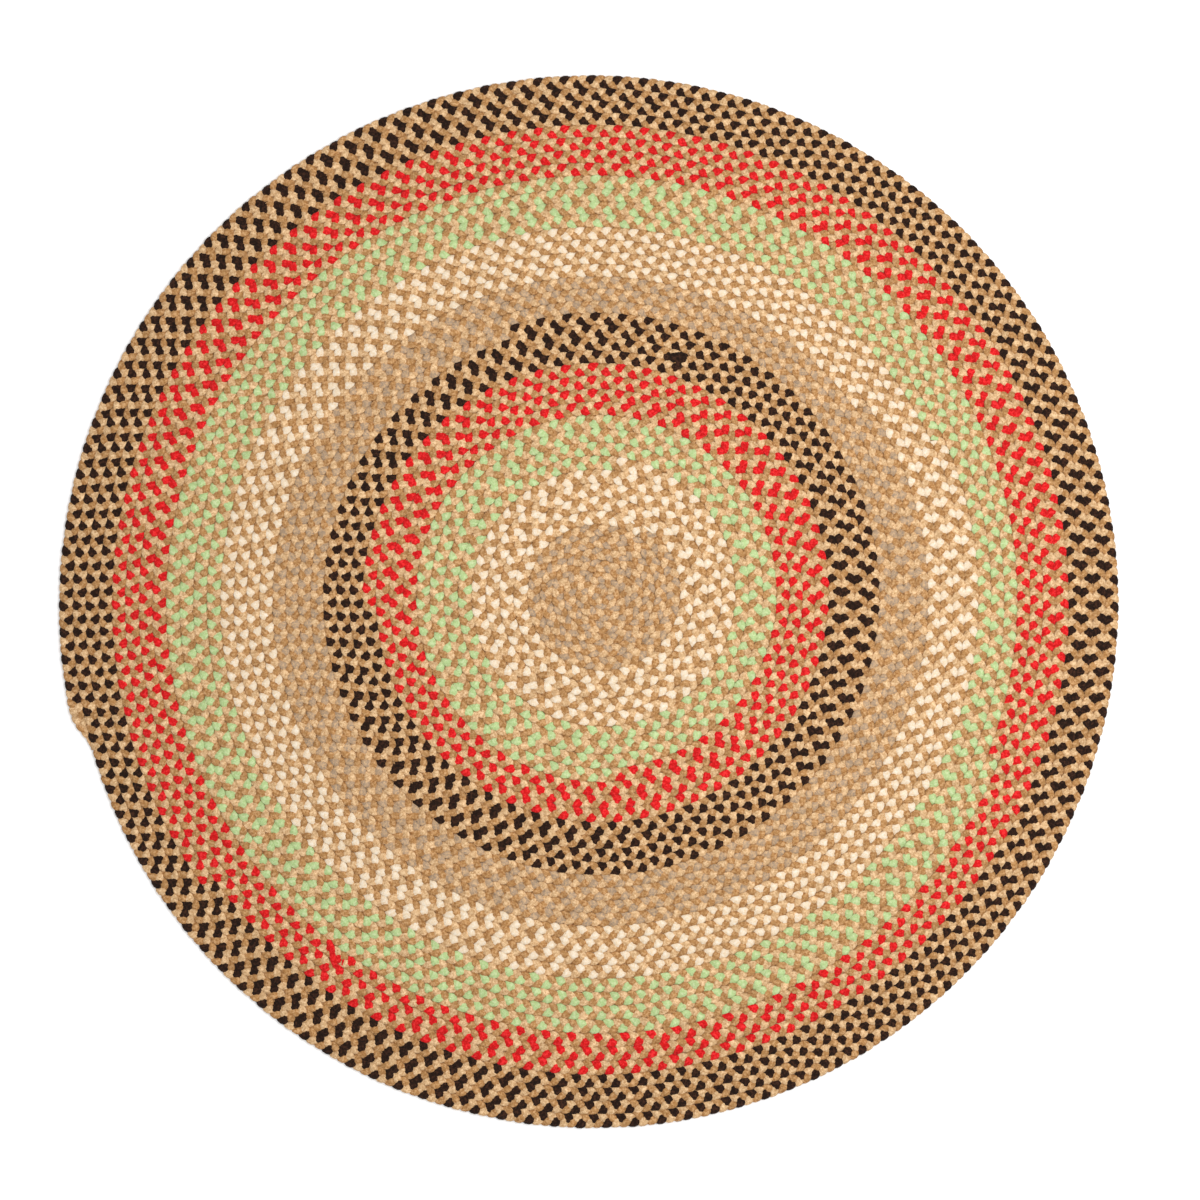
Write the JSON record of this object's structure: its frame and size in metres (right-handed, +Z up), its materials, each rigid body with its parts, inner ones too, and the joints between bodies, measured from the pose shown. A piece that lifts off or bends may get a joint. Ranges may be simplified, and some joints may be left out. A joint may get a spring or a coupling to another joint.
{
  "type": "round braided rug",
  "caption": "Round flat rug: a three-strand cloth braid wound in a spiral and laced row to row, with bands of changing accent colour on a tan ground.",
  "frame": {"origin": "on the floor, under the middle of the rug's extent", "axes": "+Z up through the rug's thickness, +X and +Y in the plane of the floor, +X to the right in the picture"},
  "size_m": [1.8334, 1.8216, 0.0105],
  "materials": {
    "light_strand": "matt light tan cloth strand, faintly streaked along its length",
    "brown_strand": "matt caramel brown cloth strand, faintly streaked along its length",
    "grey_strand": "matt warm grey cloth strand",
    "cream_strand": "matt cream cloth strand",
    "green_strand": "matt pale green cloth strand",
    "red_strand": "matt bright red cloth strand",
    "black_strand": "matt black cloth strand",
    "lacing": "matt brown lacing thread in the grooves between the rows"
  },
  "bodies": {
    "root": {"braided_rug": "light_strand"}
  },
  "joints": []
}
